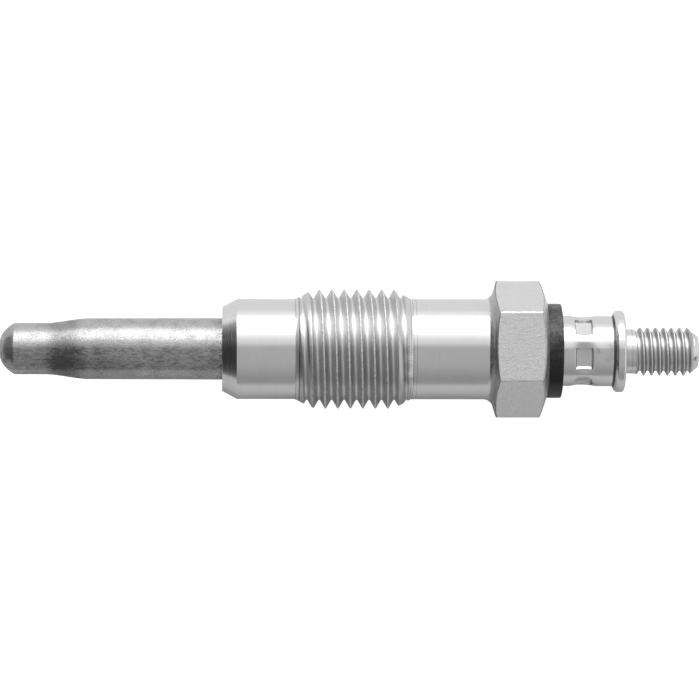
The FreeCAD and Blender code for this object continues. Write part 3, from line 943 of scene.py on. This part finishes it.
# %% Shell
shell_finish = shell_plating()
metric_12 = thread_mesh(
    "thread_m12",
    {
        "Front": THREAD_FRONT, "Rear": THREAD_REAR,
        "Front radius": PILOT_RADIUS, "Rear radius": SHANK_RADIUS,
        "Pitch": M12_PITCH, "First crest": M12_FIRST_CREST,
        "Crest radius": M12_CREST_RADIUS, "Root radius": M12_ROOT_RADIUS,
        "Crest flat": 0.12, "Rounding": 0.1, "Lead end": 9.7, "Run-out start": 17.2, "Fade": 0.05,
    },
    {"Lead power": 0.75, "Crowding": CROWDING, "Columns": SHELL_COLUMNS, "Rows per turn": 24},
    shell_finish,
)
shape = bmesh.new()
add_turned(shape, [
    [on_plug(place, radius, angle) for place, radius in shell_profile(angle)]
    for angle in crowded_angles(SHELL_COLUMNS)
])
shape.from_mesh(metric_12)
close_piece("steel_shell", shape, shell_finish, "housing")

# %% [markdown]
# The heater tube is closed by a flat dome that meets the wall in a faint edge. Its curve is a
# power of the radius, which stays flat in the middle and bends late. Behind the slim tip the
# swaged cone runs into the full tube with long soft bends.

# %% Heater tube
TIP_PLACE = -22.25
DOME_RIM = 2.56
DOME_DEPTH = 1.5
DOME_POWER = 2.9
DOME_STEPS = 16
TIP_RADIUS = 2.58
TIP_END = -17.05
SWAGE_BEND = 9
TUBE_FRONT = -13.85
TUBE_RADIUS = 3.05
TUBE_RADIUS_AT_SHELL = 3.08
SEAT_FRONT = 0.45
TUBE_BORE = 2.5
TIP_BORE = 2.03
TIP_BORE_FRONT = -21.35
TUBE_COLUMNS = 128

dome = []
for step in range(DOME_STEPS + 1):
    share = step / DOME_STEPS
    dome.append((TIP_PLACE + DOME_DEPTH * share**DOME_POWER, DOME_RIM * share))
tube_corners = [
    *dome,
    (TIP_PLACE + DOME_DEPTH + 0.05, TIP_RADIUS - 0.005),
    (TIP_END, TIP_RADIUS, SWAGE_BEND, LONG_ARC_STEPS),
    (TUBE_FRONT, TUBE_RADIUS, SWAGE_BEND, LONG_ARC_STEPS),
    (0, TUBE_RADIUS_AT_SHELL), (SEAT_FRONT, TUBE_SEAT_RADIUS),
    (TUBE_REAR, TUBE_SEAT_RADIUS), (TUBE_REAR, TUBE_BORE),
    (TUBE_FRONT - 0.05, TUBE_BORE), (TIP_END + 0.05, TIP_BORE),
    (TIP_BORE_FRONT, TIP_BORE), (TIP_BORE_FRONT, 0),
]
shape = bmesh.new()
add_turned(shape, turned_columns(tube_corners, TUBE_COLUMNS))
close_piece("sheath_tube", shape, heater_alloy(), "glow_tube")

# %% [markdown]
# The connecting pin carries the current from the stud to the coils. Only its neck and its M5
# stud show. The stud is made by the same tree as the big thread, and fades out of the neck.

# %% Pin sizes and finish
PIN_FRONT = -2.75
NOSE_RADIUS = 1.1
ROD_FRONT = -1.15
ROD_RADIUS = 1.5
ROD_REAR = 27.2
NECK_FRONT = 27.6
NECK_RADIUS = 2.23
STUD_FRONT = 41.22
STUD_REAR = 47.66
STUD_END_RADIUS = 1.6
STUD_END_BULGE = 0.07
M5_PITCH = 0.8
M5_FIRST_CREST = 43.48
M5_CREST_RADIUS = 2.43
M5_ROOT_RADIUS = 1.95
NECK_LINE = 41.0
STUD_END_MARK = (47.3, -1.0, 1.75)
PIN_COLUMNS = 96


def pin_plating():
    steel = Plating("pin_steel", roughness=0.15, leaning=True)
    add_thread(
        steel, STUD_FRONT, STUD_REAR - 0.46, root=M5_ROOT_RADIUS + 0.03, crest=M5_CREST_RADIUS,
        grime=1.0, far_side_shade=0.0, nicks=0.1,
    )
    add_smudge(steel, STUD_END_MARK, size=0.35, strength=2.4)
    add_line(steel, NECK_LINE, half_width=0.04)
    return steel.finished()


# %% Connecting pin
pin_finish = pin_plating()
metric_5 = thread_mesh(
    "thread_m5",
    {
        "Front": STUD_FRONT, "Rear": STUD_REAR,
        "Front radius": NECK_RADIUS, "Rear radius": STUD_END_RADIUS,
        "Pitch": M5_PITCH, "First crest": M5_FIRST_CREST,
        "Crest radius": M5_CREST_RADIUS, "Root radius": M5_ROOT_RADIUS,
        "Crest flat": 0.1, "Rounding": 0.08, "Lead end": 42.4, "Run-out start": 46.65, "Fade": 0.3,
    },
    {"Lead power": 0.8, "Crowding": 0.0, "Columns": PIN_COLUMNS, "Rows per turn": 20},
    pin_finish,
)
shape = bmesh.new()
add_turned(shape, turned_columns([
    (PIN_FRONT, 0), (PIN_FRONT, NOSE_RADIUS), (ROD_FRONT, NOSE_RADIUS), (ROD_FRONT, ROD_RADIUS),
    (ROD_REAR, ROD_RADIUS), (NECK_FRONT, NECK_RADIUS),
    (STUD_FRONT - BESIDE_THREAD, NECK_RADIUS), (STUD_FRONT, NECK_RADIUS),
], PIN_COLUMNS))
add_turned(shape, turned_columns([
    (STUD_REAR, STUD_END_RADIUS), (STUD_REAR + 0.03, STUD_END_RADIUS - 0.04),
    (STUD_REAR + 0.04, STUD_END_RADIUS - 0.1),
    (STUD_REAR + STUD_END_BULGE, 0.5), (STUD_REAR + STUD_END_BULGE, 0),
], PIN_COLUMNS))
shape.from_mesh(metric_5)
close_piece("terminal_pin", shape, pin_finish, "connecting_pin", leaning=True)

# %% [markdown]
# The insulating ring keeps the nut clear of the shell. Its spigot is hidden in the counterbore.
# Only the rim shows, with a small rounding in front and a larger one behind.

# %% Insulating ring
SPIGOT_FRONT = 30.88
RING_BORE = 2.3
RING_RADIUS = 4.74
NUT_FRONT = 33.93
RING_COLUMNS = 128

shape = bmesh.new()
add_turned(shape, turned_columns([
    (SPIGOT_FRONT, RING_BORE), (SPIGOT_FRONT, COUNTERBORE_RADIUS), (HEX_REAR, COUNTERBORE_RADIUS),
    (HEX_REAR, RING_RADIUS, 0.06), (NUT_FRONT, RING_RADIUS, 0.14, 4), (NUT_FRONT, RING_BORE),
], RING_COLUMNS), looped=True)
close_piece(
    "insulating_ring", shape, washer_plastic(), "insulating_washer", leaning=True,
)

# %% [markdown]
# The round nut is slid on and crimped: a tool with six jaws leaves six pockets with flat floors
# and pulls the sleeve in a little beside each. A boolean cut would leave thin triangles round
# each pocket, so the pockets are part of the grid. Columns and rows lie exactly on their rims,
# and inside a pocket the grid's points drop from the round sleeve to the flat floor.

# %% Nut sizes
NUT_REAR = 40.25
NUT_BORE = 2.2
COUNTERSINK = 0.32
SLEEVE_RADIUS = 3.53
FLANGE_RADIUS = 4.11
FLANGE_FRONT = 39.19
WAIST_MIDDLE = 36.1
WAIST_HALF = 1.4
WAIST_DEPTH = 0.26
WAIST_FULL_WITHIN = 15
WAIST_FADE = 0.85
POCKET_FROM = 35.2
POCKET_TO = 36.88
POCKET_FLOOR = 3.02
FRONT_WALL = 0.07
BEHIND_POCKET = 0.22
FIRST_POCKET = math.radians(46)
POCKET_COUNT = 6
SIXTH_HALF_ANGLE = 180 / POCKET_COUNT
print("pockets of", round(POCKET_TO - POCKET_FROM, 2), "mm, one every", 2 * SIXTH_HALF_ANGLE, "degrees")


def waist(place, off_pocket):
    """How far the sleeve is pulled in at a place along it, off_pocket degrees from a pocket's middle.
    Most of the waist fades away towards the ridge between two pockets."""
    along = min(1, abs(place - WAIST_MIDDLE) / WAIST_HALF)
    fading_over = SIXTH_HALF_ANGLE - WAIST_FULL_WITHIN
    around = min(1, max(0, (abs(off_pocket) - WAIST_FULL_WITHIN) / fading_over))
    return WAIST_DEPTH * (1 - along**2) ** 2 * (1 - WAIST_FADE * around)


# %% Nut columns and points
# Columns from a pocket's middle to the ridge beside it: degrees from the middle, and how far from
# the middle that column lies on the pocket's floor, or None outside the pocket.
HALF_SIXTH = [
    (0, 0), (5.5, 0.29), (10, 0.53), (13.5, 0.73), (16.2, 0.88),
    (18.2, None), (18.8, None), (20.5, None), (23.5, None), (27, None),
]
MIRRORED_HALF = [(-angle, floor and -floor) for angle, floor in reversed(HALF_SIXTH[1:])]
SIXTH = [*MIRRORED_HALF, *HALF_SIXTH, (SIXTH_HALF_ANGLE, None)]
TOLERANCE = 1e-4


def nut_point(place, radius, column):
    """A point of the nut; column is the pocket's middle in radians, and an entry of SIXTH. The rows
    on both rims stay on the sleeve, and the rear wall rises from the last row before its rim."""
    middle, (off_pocket, floor) = column
    if abs(radius - SLEEVE_RADIUS) < TOLERANCE:
        radius -= waist(place, off_pocket)
    inside = POCKET_FROM + FRONT_WALL - TOLERANCE < place < POCKET_TO - TOLERANCE
    if floor is None or not inside or radius < POCKET_FLOOR:
        return on_plug(place, radius, middle + math.radians(off_pocket))
    return on_plug(place, math.hypot(floor, POCKET_FLOOR), middle + math.atan2(floor, POCKET_FLOOR))


nut_columns = [
    (FIRST_POCKET + math.tau * pocket / POCKET_COUNT, entry)
    for pocket in range(POCKET_COUNT) for entry in SIXTH
]
print("nut of", len(nut_columns), "columns")

# %% Nut profile
SLEEVE_ROWS = 40
BESIDE_RIM = 0.03
CLEAR_OF_RIM = 0.035

sleeve_from = NUT_FRONT + 0.12
sleeve_to = FLANGE_FRONT - 0.19
pocket_rows = [
    POCKET_FROM - BESIDE_RIM, POCKET_FROM, POCKET_FROM + FRONT_WALL,
    POCKET_TO, POCKET_TO + BEHIND_POCKET, POCKET_TO + BEHIND_POCKET + BESIDE_RIM,
]
even_rows = [sleeve_from + (sleeve_to - sleeve_from) * row / SLEEVE_ROWS for row in range(SLEEVE_ROWS + 1)]
clear_rows = [row for row in even_rows if min(abs(row - mark) for mark in pocket_rows) > CLEAR_OF_RIM]
nut_profile = [
    *softened([(NUT_FRONT, NUT_BORE), (NUT_FRONT, SLEEVE_RADIUS, 0.05), (sleeve_from, SLEEVE_RADIUS)])[:-1],
    *[Vector((row, SLEEVE_RADIUS)) for row in sorted(clear_rows + pocket_rows)],
    *softened([
        (FLANGE_FRONT - 0.06, SLEEVE_RADIUS), (FLANGE_FRONT - 0.02, SLEEVE_RADIUS),
        (FLANGE_FRONT, FLANGE_RADIUS, 0.46, LONG_ARC_STEPS), (NUT_REAR, FLANGE_RADIUS, 0.3, 6),
        (NUT_REAR, NUT_BORE + COUNTERSINK), (NUT_REAR - COUNTERSINK, NUT_BORE),
    ]),
]
print("nut profile of", len(nut_profile), "points")

# %% Nut finish
# Stretches from x to x, inside a radius, that get painted shade: the pockets' ends and the flange's foot.
PAINTED_SHADE_HOLLOWS = [
    (POCKET_FROM - 0.04, POCKET_FROM + FRONT_WALL + 0.05, 3.4),
    (POCKET_TO - 0.05, POCKET_TO + BEHIND_POCKET + 0.04, 3.45),
    (FLANGE_FRONT - 0.24, FLANGE_FRONT + 0.15, 3.74),
]
# Place, size and strength of single scuffs, and of two rows of painted shade along the pockets' rims.
SCUFFS_AND_RIM_SHADE = [
    ((36.95, -3.45, 0.95), 0.45, 2.2), ((37.4, -0.3, 3.5), 0.4, 0.7), ((36.1, 0.15, 3.4), 1.3, 0.3),
    ((38.8, 0.1, 3.5), 0.8, 0.5), ((38.6, -1.0, 3.4), 0.6, 0.35), ((34.9, 0.9, 3.4), 0.6, 0.3),
    # Painted shade: two rows of dark smudges along the rims of two pockets.
    *[((place, 2.71, 1.6), 0.32, 0.7) for place in (35.5, 36.0, 36.5, 36.9)],
    *[((place, -3.0, 1.7), 0.36, 2.0) for place in (35.5, 36.0, 36.5)],
]


def nut_plating():
    steel = Plating("nut_steel", roughness=0.14, leaning=True)
    for start, end, outer in PAINTED_SHADE_HOLLOWS:
        add_hollow_shade(steel, start, end, outer)
    for place, size, strength in SCUFFS_AND_RIM_SHADE:
        add_smudge(steel, place, size, strength)
    return steel.finished()


# %% Crimped nut
shape = bmesh.new()
add_turned(shape, [
    [nut_point(place, radius, column) for place, radius in nut_profile] for column in nut_columns
], looped=True)
close_piece("crimped_nut", shape, nut_plating(), "round_nut", leaning=True)

# %% View transform
scene = bpy.context.scene
scene.view_settings.view_transform = "Standard"
